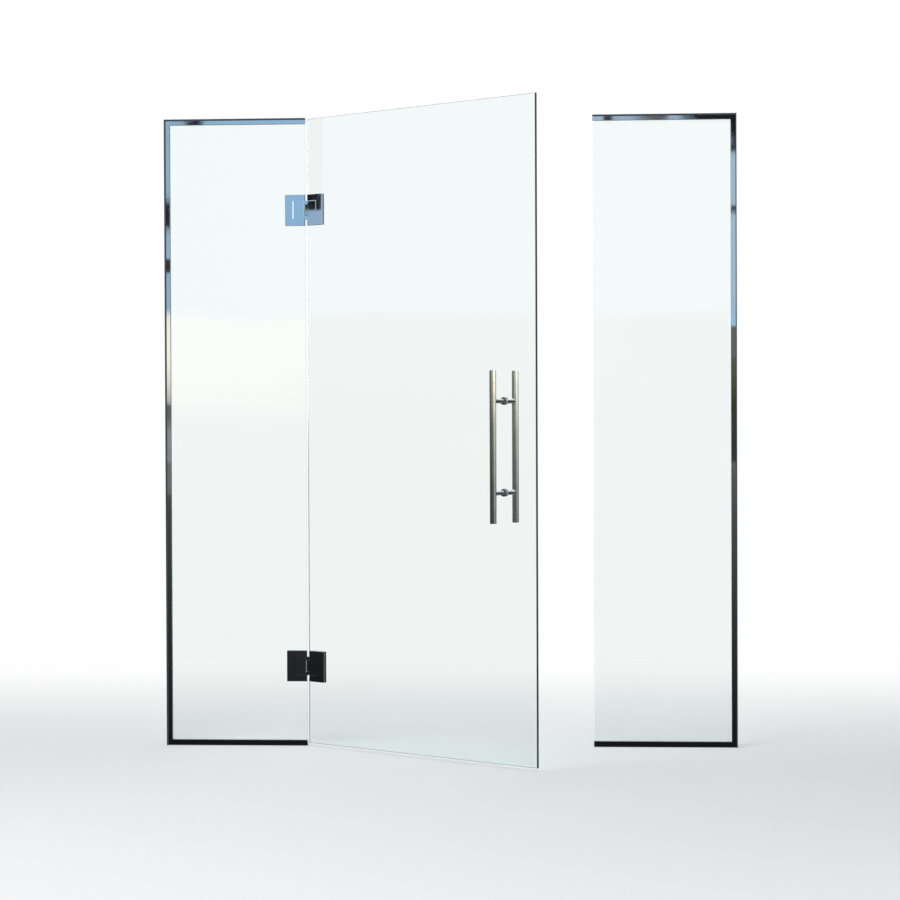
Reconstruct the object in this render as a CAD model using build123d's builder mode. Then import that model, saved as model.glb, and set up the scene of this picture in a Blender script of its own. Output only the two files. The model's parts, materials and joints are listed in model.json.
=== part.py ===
from build123d import *
import math
import os

os.makedirs("parts", exist_ok=True)

# Glazed front, over the outside of its channels. All lengths are in millimetres.
front_width = 2000.0
front_height = 2200.0
doorway_width = 1004.0
open_angle = 35.0
full_swing = 90.0

# Toughened glass
glass_thickness = 10.0
glass_arris = 0.8
floor_gap = 10.0
head_gap = 3.0
closing_gap = 4.0
hinge_gap = 6.0
leaf_hinge_gap = 3.5

# Folded U-channels with their gaskets, setting blocks and fixing holes
channel_face = 20.0
channel_width = 20.0
channel_wall = 1.5
channel_bend = 1.2
edge_gap = 5.0
gasket_height = 11.0
gasket_inset = 0.5
gasket_joint = 0.3
block_length = 60.0
block_inset = 150.0
fixing_radius = 2.75
sill_fixing_inset = 80.0
jamb_fixing_outer = 300.0
jamb_fixing_inner = 800.0

# Hinge plates, measured from the hinge line and from the middle of the glass
upper_hinge_drop = 322.0
lower_hinge_height = 280.0
plate_height = 108.0
plate_reach = 77.0
plate_thickness = 3.0
plate_edge = 0.6
pad_thickness = 1.0
pad_inset = 1.0
swing_clearance = 0.5
panel_height = 65.0
panel_reach = 50.0
panel_rise = 1.0
panel_slope = 70.0

# Hinge block, knuckle and the notch in the glass around them
block_corner = 6.0
notch_clearance = 2.0
ear_height = 12.3
ear_root = 20.0
knuckle_step = 0.3
washer_thickness = 1.0
washer_play = 0.1
washer_rim = 0.5

# Clamp screws, from the back plate into the block
screw_radius = 2.5
screw_head_radius = 4.7
screw_head_slope = 45.0
screw_length = 12.0
screw_play = 0.05
screw_near = 20.0
screw_far = 42.0
screw_rise = 24.0
socket_radius = 1.7
socket_depth = 1.8
hex_sides = 6
tapped_extra = 2.0

# Cam spindle, its bushes and its seals
spindle_radius = 4.5
spindle_play = 0.05
spindle_fit = 0.02
cam_base = 3.2
cam_lift_per_radian = 2.0
cam_height = 18.0
flank_points = 9
knuckle_wall = 2.0
bush_length = 7.0
seal_section = 0.5
set_screw_radius = 2.0
set_screw_inset = 0.5

# Hydraulic cylinder along the leaf, with piston, spring, plug and valve
cylinder_radius = 7.0
cylinder_wall = 1.6
piston_play = 0.05
piston_length = 12.0
piston_seal_section = 0.6
cam_clearance = 0.3
plug_length = 8.0
plug_play = 0.02
plug_socket_radius = 3.4
plug_socket_depth = 4.0
spring_wire = 1.0
spring_turns = 6
spring_play = 0.6
passage_radius = 0.9
passage_drop = 11.0
valve_reach = 30.0
valve_radius = 2.5
valve_length = 4.0
valve_tip_radius = 1.1
valve_tip_length = 2.4
valve_key_radius = 1.4
valve_key_depth = 1.5
valve_slot_radius = 2.2

# Pull handle, on both faces of the leaf
pull_inset = 131.0
pull_height = 1052.0
pull_length = 500.0
pull_centres = 300.0
pull_tube_radius = 11.0
pull_tube_wall = 1.5
pull_standoff = 58.0
post_radius = 8.0
rosette_radius = 13.0
rosette_thickness = 3.0
rosette_edge = 1.0
pull_pad_thickness = 1.0
cap_thickness = 1.5
cap_edge = 0.8
cap_spigot = 8.0
cap_play = 0.05
glass_hole_radius = 7.0
bush_play = 0.1
stud_radius = 4.0
stud_play = 0.05
stud_engagement = 18.0
stud_hole_extra = 2.0
grub_radius = 2.5
grub_inset = 0.5
grub_from_rosette = 10.0

cut_overrun = 3.0

# Places that follow from the sizes above
half_front = front_width / 2
half_doorway = doorway_width / 2
half_glass = glass_thickness / 2
hinge_x = hinge_gap - half_doorway
leaf_reach = doorway_width - hinge_gap - closing_gap
pull_reach = leaf_reach - pull_inset
leaf_top = front_height - head_gap
upper_hinge_height = front_height - upper_hinge_drop
pane_inset = channel_wall + edge_gap
gasket_thickness = channel_width / 2 - channel_wall - half_glass
plate_seat = half_glass + pad_thickness
plate_face = plate_seat + plate_thickness
panel_face = plate_face + panel_rise
half_panel = panel_height / 2
notch_reach = panel_reach + notch_clearance
notch_height = panel_height + 2 * notch_clearance
notch_corner = block_corner + notch_clearance
ear_floor = half_panel - ear_height
barrel_top = ear_floor - washer_thickness - 2 * washer_play
knuckle_radius = cylinder_radius + knuckle_wall
plate_setback = max(plate_face, knuckle_radius) + swing_clearance
panel_setback = max(panel_face, knuckle_radius) + swing_clearance
knuckle_edge = plate_setback - knuckle_step
boss_radius = cylinder_radius + cylinder_wall
seal_rise = barrel_top - bush_length / 2
screw_head_depth = (screw_head_radius - screw_radius) / math.tan(math.radians(screw_head_slope))
rest_angle = math.radians(open_angle)
swing_angle = math.radians(full_swing)
piston_face = cam_base + cam_lift_per_radian * rest_angle + cam_clearance
piston_back = piston_face + piston_length
plug_face = panel_reach - plug_length
rosette_face = half_glass + pull_pad_thickness + rosette_thickness
tube_axis = half_glass + pull_standoff
tube_bore = pull_tube_radius - pull_tube_wall
post_heights = (pull_height + pull_centres / 2, pull_height - pull_centres / 2)
tube_bottom = pull_height - pull_length / 2
tube_top = pull_height + pull_length / 2
hinge_heights = (upper_hinge_height, lower_hinge_height)


def save(built, name):
    """Label a finished piece and write it to its own file."""
    built.part.label = name
    export_step(built.part, f"parts/{name}.step")


def axis_planes(turn, height):
    """Plan, front and side planes on the hinge line at a height, turned with the leaf."""
    along = Vector(1, 0, 0).rotate(Axis.Z, -turn)
    back = Vector(0, 1, 0).rotate(Axis.Z, -turn)
    origin = (hinge_x, 0, height)
    plan = Plane(origin, x_dir=along, z_dir=(0, 0, 1))
    front = Plane(origin, x_dir=along, z_dir=-back)
    side = Plane(origin, x_dir=back, z_dir=along)
    return plan, front, side


def save_channel(name, plane, length, far_mitre, hole_places):
    """A folded U-channel: the plane's X runs along it from its mitred corner, Y into its mouth."""
    with BuildPart() as channel:
        with BuildSketch(plane):
            with BuildLine():
                Polyline(
                    (0, 0),
                    (length, 0),
                    (length - far_mitre * channel_face, channel_face),
                    (channel_face, channel_face),
                    close=True,
                )
            make_face()
        extrude(amount=channel_width / 2, both=True)
        run = channel.edges().filter_by(Axis(plane.origin, plane.x_dir))
        fillet(run.group_by(Axis(plane.origin, plane.y_dir))[0], channel_bend)
        mouth = channel_face + cut_overrun
        slot_end = length + (1 - far_mitre) * cut_overrun
        with BuildSketch(plane):
            with BuildLine():
                Polyline(
                    (channel_wall, channel_wall),
                    (slot_end - far_mitre * channel_wall, channel_wall),
                    (slot_end - far_mitre * mouth, mouth),
                    (mouth, mouth),
                    close=True,
                )
            make_face()
        extrude(amount=channel_width / 2 - channel_wall, both=True, mode=Mode.SUBTRACT)
        web = Plane(plane.origin, x_dir=plane.x_dir, z_dir=plane.y_dir)
        with BuildSketch(web):
            with Locations([(place, 0) for place in hole_places]):
                Circle(fixing_radius)
        extrude(amount=cut_overrun, both=True, mode=Mode.SUBTRACT)
    save(channel, name)


# The six channels: a jamb, a head and a sill round each side-light, mitred at the corners.
side_length = half_front - half_doorway
side_holes = (sill_fixing_inset, side_length - sill_fixing_inset)
jamb_holes = (
    jamb_fixing_outer,
    jamb_fixing_inner,
    front_height - jamb_fixing_inner,
    front_height - jamb_fixing_outer,
)
for side_name, side_sign in (("left", -1), ("right", 1)):
    inward = (-side_sign, 0, 0)
    foot = (side_sign * half_front, 0, 0)
    top = (side_sign * half_front, 0, front_height)
    jamb_plane = Plane(foot, x_dir=(0, 0, 1), z_dir=(0, -side_sign, 0))
    head_plane = Plane(top, x_dir=inward, z_dir=(0, -side_sign, 0))
    sill_plane = Plane(foot, x_dir=inward, z_dir=(0, side_sign, 0))
    save_channel(f"{side_name}_jamb_channel", jamb_plane, front_height, 1, jamb_holes)
    save_channel(f"{side_name}_head_channel", head_plane, side_length, 0, side_holes)
    save_channel(f"{side_name}_sill_channel", sill_plane, side_length, 0, side_holes)

# The side-lights, with their gaskets and setting blocks. The left pane is notched for the hinges.
for side_name, side_sign in (("left", -1), ("right", 1)):
    pane_start = half_doorway
    pane_end = half_front - pane_inset
    pane_middle = side_sign * (pane_start + pane_end) / 2

    with BuildPart() as side_glass:
        with BuildSketch(Plane.XZ):
            with Locations((pane_middle, front_height / 2)):
                Rectangle(pane_end - pane_start, front_height - 2 * pane_inset)
            if side_sign < 0:
                with Locations([(hinge_x - notch_reach, height) for height in hinge_heights]):
                    RectangleRounded(
                        notch_reach + notch_corner,
                        notch_height,
                        notch_corner,
                        align=(Align.MIN, Align.CENTER),
                        mode=Mode.SUBTRACT,
                    )
        extrude(amount=half_glass, both=True)
        chamfer(side_glass.faces().filter_by(Axis.Y).edges(), glass_arris)
    save(side_glass, f"{side_name}_side_glass")

    with BuildPart() as gaskets:
        lip = half_front - channel_face + gasket_inset + gasket_height / 2
        rail_end = half_front - channel_face + gasket_inset - gasket_joint
        rail_length = rail_end - half_doorway
        rail_rise = front_height / 2 - channel_face + gasket_inset + gasket_height / 2
        for face_offset in (half_glass, -half_glass - gasket_thickness):
            with BuildSketch(Plane.XZ.offset(face_offset)):
                with Locations((side_sign * lip, front_height / 2)):
                    Rectangle(gasket_height, 2 * rail_rise + gasket_height)
                rail_x = side_sign * (half_doorway + rail_end) / 2
                middle = front_height / 2
                with Locations((rail_x, middle + rail_rise), (rail_x, middle - rail_rise)):
                    Rectangle(rail_length, gasket_height)
            extrude(amount=gasket_thickness)
    save(gaskets, f"{side_name}_glazing_gaskets")

    with BuildPart() as setting_blocks:
        with BuildSketch(Plane.XY.offset(channel_wall)):
            places = (pane_start + block_inset, pane_end - block_inset)
            with Locations([(side_sign * place, 0) for place in places]):
                Rectangle(block_length, glass_thickness)
        extrude(amount=edge_gap)
    save(setting_blocks, f"{side_name}_setting_blocks")


def clamp_plate(plan, front, sense, face):
    """One clamp plate: sense +1 lies on the leaf, face +1 on the viewer's side of the glass."""
    outward = front.z_dir * face
    corners = (
        (plate_setback, plate_face),
        (plate_reach, plate_face),
        (plate_reach, plate_seat),
        (plate_setback - plate_thickness, plate_seat),
    )
    with BuildPart() as plate:
        with BuildSketch(plan.offset(-plate_height / 2)):
            with BuildLine():
                Polyline([(sense * u, -face * v) for u, v in corners], close=True)
            make_face()
        extrude(amount=plate_height)
        show_face = plate.faces().sort_by(Axis(front.origin, outward))[-1]
        chamfer(show_face.edges(), plate_edge)
        with BuildSketch(front):
            Rectangle(2 * plate_setback, panel_height + 2 * swing_clearance)
        extrude(amount=plate_face + cut_overrun, both=True, mode=Mode.SUBTRACT)
        with BuildSketch(Plane(front.origin, x_dir=front.x_dir, z_dir=outward).offset(plate_face)):
            with Locations((sense * (panel_setback + panel_reach) / 2, 0)):
                Rectangle(panel_reach - panel_setback, panel_height)
        extrude(amount=panel_rise, taper=panel_slope)
    return plate.part


def knuckle(plan, sense, floor, height):
    """A rounded end round the hinge line, with the root that joins it to its block."""
    with BuildPart() as rounded_end:
        with BuildSketch(plan.offset(floor)):
            Circle(knuckle_radius)
            with Locations((sense * knuckle_edge / 2, 0)):
                Rectangle(knuckle_edge, 2 * knuckle_radius)
            with Locations((sense * ear_root / 2, (plate_seat - plate_face) / 2)):
                Rectangle(ear_root, plate_seat + plate_face)
        extrude(amount=height)
    return rounded_end.part


def clamp_screws(front, sense, play, extra):
    """Four countersunk screws with heads flush in the back panel, grown by a play to cut their holes."""
    outside = front.offset(-panel_face)
    places = [(sense * u, z) for u in (screw_near, screw_far) for z in (screw_rise, -screw_rise)]
    with BuildPart() as screws:
        with BuildSketch(outside):
            with Locations(places):
                Circle(screw_head_radius + play)
        extrude(amount=screw_head_depth, taper=screw_head_slope)
        with BuildSketch(outside):
            with Locations(places):
                Circle(screw_radius + play)
        extrude(amount=screw_length + extra)
        if play == 0:
            with BuildSketch(outside):
                with Locations(places):
                    RegularPolygon(socket_radius, hex_sides)
            extrude(amount=socket_depth, mode=Mode.SUBTRACT)
    return screws


def save_pads(name, front, sense):
    """The two pads that keep a hinge half's plates off the glass, cut out like the notch."""
    pad_start = plate_setback - plate_thickness + pad_inset
    pad_end = plate_reach - pad_inset
    with BuildPart() as pads:
        for seat in (half_glass, -plate_seat):
            with BuildSketch(front.offset(seat)):
                with Locations((sense * (pad_start + pad_end) / 2, 0)):
                    Rectangle(pad_end - pad_start, plate_height - 2 * pad_inset)
                with Locations((sense * (notch_reach - notch_corner) / 2, 0)):
                    RectangleRounded(
                        notch_reach + notch_corner, notch_height, notch_corner, mode=Mode.SUBTRACT
                    )
            extrude(amount=pad_thickness)
    save(pads, name)


def save_fixed_half(hinge, height):
    """The half of a hinge that clamps the left side-light and holds the cam spindle."""
    plan, front = axis_planes(0, height)[:2]
    line = Axis((hinge_x, 0, height), (0, 0, 1))
    ear_middle = (ear_floor + half_panel) / 2
    front_plate = clamp_plate(plan, front, -1, 1)
    back_plate = clamp_plate(plan, front, -1, -1)
    ears = [knuckle(plan, -1, floor, ear_height) for floor in (ear_floor, -half_panel)]
    screw_holes = clamp_screws(front, -1, screw_play, tapped_extra)

    with BuildPart() as fixed_body:
        add(front_plate)
        with BuildSketch(front.offset(-plate_seat)):
            with Locations((-(plate_setback + panel_reach) / 2, 0)):
                RectangleRounded(panel_reach - plate_setback, panel_height, block_corner)
        extrude(amount=plate_seat + plate_face)
        add(ears)
        with BuildSketch(plan):
            Circle(spindle_radius + spindle_fit)
        extrude(amount=half_panel + cut_overrun, both=True, mode=Mode.SUBTRACT)
        with BuildSketch(front.offset(-knuckle_radius - cut_overrun)):
            with Locations((0, ear_middle), (0, -ear_middle)):
                Circle(set_screw_radius + screw_play)
        extrude(amount=cut_overrun + knuckle_radius - spindle_radius, mode=Mode.SUBTRACT)
        add(screw_holes.part, mode=Mode.SUBTRACT)
    save(fixed_body, f"{hinge}_hinge_fixed_body")

    with BuildPart() as fixed_clamp:
        add(back_plate)
        add(screw_holes.part, mode=Mode.SUBTRACT)
    save(fixed_clamp, f"{hinge}_hinge_fixed_clamp")

    save_pads(f"{hinge}_hinge_fixed_pads", front, -1)
    save(clamp_screws(front, -1, 0, 0), f"{hinge}_hinge_fixed_screws")

    # The cam's flank is the curve whose distance from the hinge line grows evenly with the swing.
    top_reach = cam_base + cam_lift_per_radian * swing_angle
    nose = cam_base - cam_lift_per_radian
    nose_middle = nose * math.sqrt(0.5)
    flank = []
    for step in range(flank_points):
        turn = swing_angle * step / (flank_points - 1)
        reach = cam_base + cam_lift_per_radian * turn
        flank.append(
            (
                reach * math.cos(turn) - cam_lift_per_radian * math.sin(turn),
                -reach * math.sin(turn) - cam_lift_per_radian * math.cos(turn),
            )
        )
    with BuildPart() as spindle:
        with BuildSketch(plan.offset(-half_panel)):
            Circle(spindle_radius)
        extrude(amount=half_panel - cam_height / 2)
        with BuildSketch(plan.offset(cam_height / 2)):
            Circle(spindle_radius)
        extrude(amount=half_panel - cam_height / 2)
        with BuildSketch(plan.offset(-cam_height / 2)):
            with BuildLine():
                ThreePointArc((-cam_base, 0), (0, cam_base), (cam_base, 0))
                Line((cam_base, 0), flank[0])
                Spline(flank, tangents=((0, -1), (-1, 0)))
                ThreePointArc(
                    flank[-1],
                    (flank[-1][0] - nose_middle, nose - top_reach - nose_middle),
                    (-cam_base, nose - top_reach),
                )
                Line((-cam_base, nose - top_reach), (-cam_base, 0))
            make_face()
        extrude(amount=cam_height)
        for seal_height in (seal_rise, -seal_rise):
            with BuildSketch(plan.offset(seal_height - seal_section)):
                Circle(spindle_radius + cut_overrun)
                Circle(spindle_radius - 2 * seal_section, mode=Mode.SUBTRACT)
            extrude(amount=2 * seal_section, mode=Mode.SUBTRACT)
    save(spindle, f"{hinge}_hinge_spindle")

    with BuildPart() as spindle_seals:
        with BuildSketch(front):
            with Locations((spindle_radius - seal_section, seal_rise)):
                Circle(seal_section)
            with Locations((spindle_radius - seal_section, -seal_rise)):
                Circle(seal_section)
        revolve(axis=line)
    save(spindle_seals, f"{hinge}_hinge_spindle_seals")

    with BuildPart() as thrust_washers:
        for floor in (barrel_top + washer_play, -barrel_top - washer_play - washer_thickness):
            with BuildSketch(plan.offset(floor)):
                Circle(knuckle_radius - washer_rim)
                Circle(spindle_radius + washer_play, mode=Mode.SUBTRACT)
            extrude(amount=washer_thickness)
    save(thrust_washers, f"{hinge}_hinge_thrust_washers")

    with BuildPart() as set_screws:
        with BuildSketch(front.offset(set_screw_inset - knuckle_radius)):
            with Locations((0, ear_middle), (0, -ear_middle)):
                Circle(set_screw_radius)
        extrude(amount=knuckle_radius - set_screw_inset - spindle_radius)
    save(set_screws, f"{hinge}_hinge_set_screws")


def save_leaf_half(hinge, height):
    """The half of a hinge that clamps the leaf and holds the hydraulic cylinder."""
    plan, front, side = axis_planes(open_angle, height)
    front_plate = clamp_plate(plan, front, 1, 1)
    back_plate = clamp_plate(plan, front, 1, -1)
    barrel = knuckle(plan, 1, -barrel_top, 2 * barrel_top)
    screw_holes = clamp_screws(front, 1, screw_play, tapped_extra)

    with BuildPart() as leaf_body:
        add(front_plate)
        with BuildSketch(front.offset(-plate_seat)):
            with Locations(((plate_setback + panel_reach) / 2, 0)):
                RectangleRounded(panel_reach - plate_setback, panel_height, block_corner)
        extrude(amount=plate_seat + plate_face)
        add(barrel)
        with BuildSketch(side):
            Circle(boss_radius)
        extrude(amount=panel_reach)
        with BuildSketch(side):
            Circle(cylinder_radius)
        extrude(amount=panel_reach + cut_overrun, mode=Mode.SUBTRACT)
        with BuildSketch(plan):
            Circle(cylinder_radius)
        extrude(amount=barrel_top + cut_overrun, both=True, mode=Mode.SUBTRACT)
        with BuildSketch(side):
            with Locations((0, -passage_drop)):
                Circle(passage_radius)
        extrude(amount=valve_reach, mode=Mode.SUBTRACT)
        with BuildSketch(plan.offset(-passage_drop)):
            with Locations((valve_reach, 0)):
                Circle(passage_radius)
        extrude(amount=passage_drop, mode=Mode.SUBTRACT)
        with BuildSketch(front.offset(-plate_seat)):
            with Locations((valve_reach, -passage_drop)):
                Circle(valve_radius + screw_play)
        extrude(amount=plate_seat + passage_radius, mode=Mode.SUBTRACT)
        add(screw_holes.part, mode=Mode.SUBTRACT)
    save(leaf_body, f"{hinge}_hinge_leaf_body")

    with BuildPart() as leaf_clamp:
        add(back_plate)
        with BuildSketch(side):
            Circle(boss_radius + knuckle_step)
        extrude(amount=notch_reach, mode=Mode.SUBTRACT)
        with BuildSketch(front.offset(-panel_face)):
            with Locations((valve_reach, -passage_drop)):
                Circle(valve_slot_radius)
        extrude(amount=panel_rise + plate_thickness, mode=Mode.SUBTRACT)
        add(screw_holes.part, mode=Mode.SUBTRACT)
    save(leaf_clamp, f"{hinge}_hinge_leaf_clamp")

    save_pads(f"{hinge}_hinge_leaf_pads", front, 1)
    save(clamp_screws(front, 1, 0, 0), f"{hinge}_hinge_leaf_screws")

    with BuildPart() as bushes:
        for floor in (barrel_top - bush_length, -barrel_top):
            with BuildSketch(plan.offset(floor)):
                Circle(cylinder_radius - spindle_fit)
                Circle(spindle_radius + spindle_play, mode=Mode.SUBTRACT)
            extrude(amount=bush_length)
    save(bushes, f"{hinge}_hinge_bushes")

    piston_radius = cylinder_radius - piston_play
    with BuildPart() as piston:
        with BuildSketch(side.offset(piston_face)):
            Circle(piston_radius)
        extrude(amount=piston_length)
        with BuildSketch(side.offset(piston_face + piston_length / 2 - piston_seal_section)):
            Circle(piston_radius + cut_overrun)
            Circle(piston_radius - 2 * piston_seal_section, mode=Mode.SUBTRACT)
        extrude(amount=2 * piston_seal_section, mode=Mode.SUBTRACT)
    save(piston, f"{hinge}_hinge_piston")

    with BuildPart() as piston_seal:
        with BuildSketch(front):
            with Locations((piston_face + piston_length / 2, piston_radius - piston_seal_section)):
                Circle(piston_seal_section)
        revolve(axis=Axis(side.origin, side.z_dir))
    save(piston_seal, f"{hinge}_hinge_piston_seal")

    with BuildPart() as spring:
        coil_radius = cylinder_radius - spring_play - spring_wire
        coil_length = plug_face - piston_back - 2 * spring_wire
        with BuildLine(side.offset(piston_back + spring_wire)) as coil:
            Helix(coil_length / spring_turns, coil_length, coil_radius, direction=side.z_dir)
        with BuildSketch(Plane(coil.line @ 0, z_dir=coil.line % 0)):
            Circle(spring_wire)
        sweep(path=coil.line)
    save(spring, f"{hinge}_hinge_spring")

    with BuildPart() as end_plug:
        with BuildSketch(side.offset(plug_face)):
            Circle(cylinder_radius - plug_play)
        extrude(amount=plug_length)
        with BuildSketch(side.offset(panel_reach - plug_socket_depth)):
            RegularPolygon(plug_socket_radius, hex_sides)
        extrude(amount=plug_socket_depth, mode=Mode.SUBTRACT)
    save(end_plug, f"{hinge}_hinge_end_plug")

    with BuildPart() as valve_screw:
        with BuildSketch(front.offset(-plate_seat)):
            with Locations((valve_reach, -passage_drop)):
                Circle(valve_radius)
        extrude(amount=valve_length)
        with BuildSketch(front.offset(valve_length - plate_seat)):
            with Locations((valve_reach, -passage_drop)):
                Circle(valve_tip_radius)
        extrude(amount=valve_tip_length)
        with BuildSketch(front.offset(-plate_seat)):
            with Locations((valve_reach, -passage_drop)):
                RegularPolygon(valve_key_radius, hex_sides)
        extrude(amount=valve_key_depth, mode=Mode.SUBTRACT)
    save(valve_screw, f"{hinge}_hinge_valve_screw")


# The two hydraulic hinges.
for hinge, height in (("upper", upper_hinge_height), ("lower", lower_hinge_height)):
    save_fixed_half(hinge, height)
    save_leaf_half(hinge, height)

# The leaf, notched for the hinges and drilled for the pull handle.
leaf_plan, leaf_front = axis_planes(open_angle, 0)[:2]
post_places = [(pull_reach, height) for height in post_heights]
with BuildPart() as leaf_glass:
    with BuildSketch(leaf_front):
        with Locations(((leaf_hinge_gap + leaf_reach) / 2, (floor_gap + leaf_top) / 2)):
            Rectangle(leaf_reach - leaf_hinge_gap, leaf_top - floor_gap)
        with Locations([((notch_reach - notch_corner) / 2, height) for height in hinge_heights]):
            RectangleRounded(
                notch_reach + notch_corner, notch_height, notch_corner, mode=Mode.SUBTRACT
            )
        with Locations(post_places):
            Circle(glass_hole_radius, mode=Mode.SUBTRACT)
    extrude(amount=half_glass, both=True)
    leaf_faces = leaf_glass.faces().filter_by(Axis(leaf_front.origin, leaf_front.z_dir))
    chamfer(leaf_faces.edges(), glass_arris)
save(leaf_glass, "leaf_glass")

# The pull: a tube with two welded posts on each face, bolted through the glass.
for pull_name, pull_face in (("front", 1), ("back", -1)):
    facing = Plane(leaf_front.origin, x_dir=leaf_front.x_dir, z_dir=leaf_front.z_dir * pull_face)
    with BuildPart() as pull:
        with BuildSketch(facing.offset(rosette_face)):
            with Locations([(reach, pull_face * height) for reach, height in post_places]):
                Circle(post_radius)
        extrude(amount=tube_axis - rosette_face)
        with BuildSketch(leaf_plan.offset(tube_bottom + cap_thickness)):
            with Locations((pull_reach, -pull_face * tube_axis)):
                Circle(pull_tube_radius)
        extrude(amount=pull_length - 2 * cap_thickness)
        with BuildSketch(leaf_plan.offset(tube_bottom + cap_thickness)):
            with Locations((pull_reach, -pull_face * tube_axis)):
                Circle(tube_bore)
        extrude(amount=pull_length - 2 * cap_thickness, mode=Mode.SUBTRACT)
        with BuildSketch(facing.offset(rosette_face)):
            with Locations([(reach, pull_face * height) for reach, height in post_places]):
                Circle(stud_radius + stud_play)
        extrude(amount=stud_engagement + stud_hole_extra, mode=Mode.SUBTRACT)
        if pull_face < 0:
            for height in post_heights:
                with BuildSketch(leaf_plan.offset(height - post_radius - cut_overrun)):
                    with Locations((pull_reach, rosette_face + grub_from_rosette)):
                        Circle(grub_radius + screw_play)
                extrude(amount=post_radius + cut_overrun, mode=Mode.SUBTRACT)
    save(pull, f"{pull_name}_pull")

tube_places = [(pull_reach, -tube_axis), (pull_reach, tube_axis)]
with BuildPart() as pull_caps:
    for rim, spigot in (
        (tube_bottom, tube_bottom + cap_thickness),
        (tube_top - cap_thickness, tube_top - cap_thickness - cap_spigot),
    ):
        with BuildSketch(leaf_plan.offset(rim)):
            with Locations(tube_places):
                Circle(pull_tube_radius)
        extrude(amount=cap_thickness)
        with BuildSketch(leaf_plan.offset(spigot)):
            with Locations(tube_places):
                Circle(tube_bore - cap_play)
        extrude(amount=cap_spigot)
    ends = pull_caps.faces().filter_by(Axis.Z).group_by(Axis.Z)
    chamfer([face.edges() for face in ends[0] + ends[-1]], cap_edge)
save(pull_caps, "pull_caps")

with BuildPart() as pull_rosettes:
    for seat in (half_glass + pull_pad_thickness, -rosette_face):
        with BuildSketch(leaf_front.offset(seat)):
            with Locations(post_places):
                Circle(rosette_radius)
                Circle(stud_radius + stud_play, mode=Mode.SUBTRACT)
        extrude(amount=rosette_thickness)
    outer_rims = pull_rosettes.faces().group_by(Axis(leaf_front.origin, leaf_front.z_dir))
    for face in outer_rims[0] + outer_rims[-1]:
        chamfer(face.outer_wire().edges(), rosette_edge)
save(pull_rosettes, "pull_rosettes")

with BuildPart() as pull_pads:
    for seat in (half_glass, -half_glass - pull_pad_thickness):
        with BuildSketch(leaf_front.offset(seat)):
            with Locations(post_places):
                Circle(rosette_radius - rosette_edge)
                Circle(stud_radius + stud_play, mode=Mode.SUBTRACT)
        extrude(amount=pull_pad_thickness)
save(pull_pads, "pull_pads")

with BuildPart() as glass_bushes:
    with BuildSketch(leaf_front):
        with Locations(post_places):
            Circle(glass_hole_radius - bush_play)
            Circle(stud_radius + stud_play, mode=Mode.SUBTRACT)
    extrude(amount=half_glass, both=True)
save(glass_bushes, "glass_bushes")

with BuildPart() as through_studs:
    with BuildSketch(leaf_front):
        with Locations(post_places):
            Circle(stud_radius)
    extrude(amount=rosette_face + stud_engagement, both=True)
save(through_studs, "through_studs")

with BuildPart() as grub_screws:
    for height in post_heights:
        with BuildSketch(leaf_plan.offset(height - post_radius + grub_inset)):
            with Locations((pull_reach, rosette_face + grub_from_rosette)):
                Circle(grub_radius)
        extrude(amount=post_radius - grub_inset - stud_radius)
save(grub_screws, "grub_screws")
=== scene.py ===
import json
import math

import bpy
import numpy as np
from mathutils import Matrix, Vector


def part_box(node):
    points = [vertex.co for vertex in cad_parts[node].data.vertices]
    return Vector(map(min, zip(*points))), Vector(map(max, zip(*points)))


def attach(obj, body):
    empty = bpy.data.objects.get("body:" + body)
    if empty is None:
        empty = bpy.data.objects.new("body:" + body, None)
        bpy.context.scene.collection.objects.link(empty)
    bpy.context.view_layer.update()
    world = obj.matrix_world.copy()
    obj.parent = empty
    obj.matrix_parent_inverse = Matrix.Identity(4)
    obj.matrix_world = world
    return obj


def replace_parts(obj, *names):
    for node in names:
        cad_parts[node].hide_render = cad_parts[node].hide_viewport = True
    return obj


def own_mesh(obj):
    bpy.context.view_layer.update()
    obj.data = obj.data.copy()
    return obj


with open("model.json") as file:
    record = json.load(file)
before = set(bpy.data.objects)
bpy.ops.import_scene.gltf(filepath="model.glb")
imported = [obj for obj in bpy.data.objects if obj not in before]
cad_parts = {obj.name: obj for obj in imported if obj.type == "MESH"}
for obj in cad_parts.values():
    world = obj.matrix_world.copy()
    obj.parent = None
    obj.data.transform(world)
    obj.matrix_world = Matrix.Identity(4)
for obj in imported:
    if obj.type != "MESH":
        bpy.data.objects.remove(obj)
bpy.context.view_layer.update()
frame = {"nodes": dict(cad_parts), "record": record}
door = frame["nodes"]

# Studio: the door stands in front of a white surround. What polished metal mirrors is softer: dark ground,
# a warm band at the horizon and blue above, with white, dark and blue cards where the metal looks.
scene = bpy.context.scene
scene.view_settings.view_transform = "Standard"


def feed(tree, socket, value):
    """Link another node's output to a socket, or set a plain value there."""
    if hasattr(value, "is_linked"):
        tree.links.new(value, socket)
    else:
        socket.default_value = value


def wire(tree, kind, **settings):
    """Add a node of a kind to a tree; settings name its properties, or its inputs by socket name."""
    node = tree.nodes.new(kind)
    for key, value in settings.items():
        if hasattr(node, key):
            setattr(node, key, value)
        else:
            feed(tree, node.inputs[key.replace("_", " ")], value)
    return node


def step_between(tree, value, low, high):
    """A smooth step: 0 below low, 1 above high, smooth between them."""
    node = wire(tree, "ShaderNodeMapRange", interpolation_type="SMOOTHSTEP",
                Value=value, From_Min=low, From_Max=high)
    return node.outputs["Result"]


def colour_steps(tree, value, steps):
    """A colour ramp through (place, colour) steps."""
    ramp = wire(tree, "ShaderNodeValToRGB", Fac=value)
    for place, _ in steps[2:]:
        ramp.color_ramp.elements.new(place)
    for element, (place, colour) in zip(ramp.color_ramp.elements, steps):
        element.position = place
        element.color = (*colour, 1.0)
    return ramp.outputs["Color"]


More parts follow.
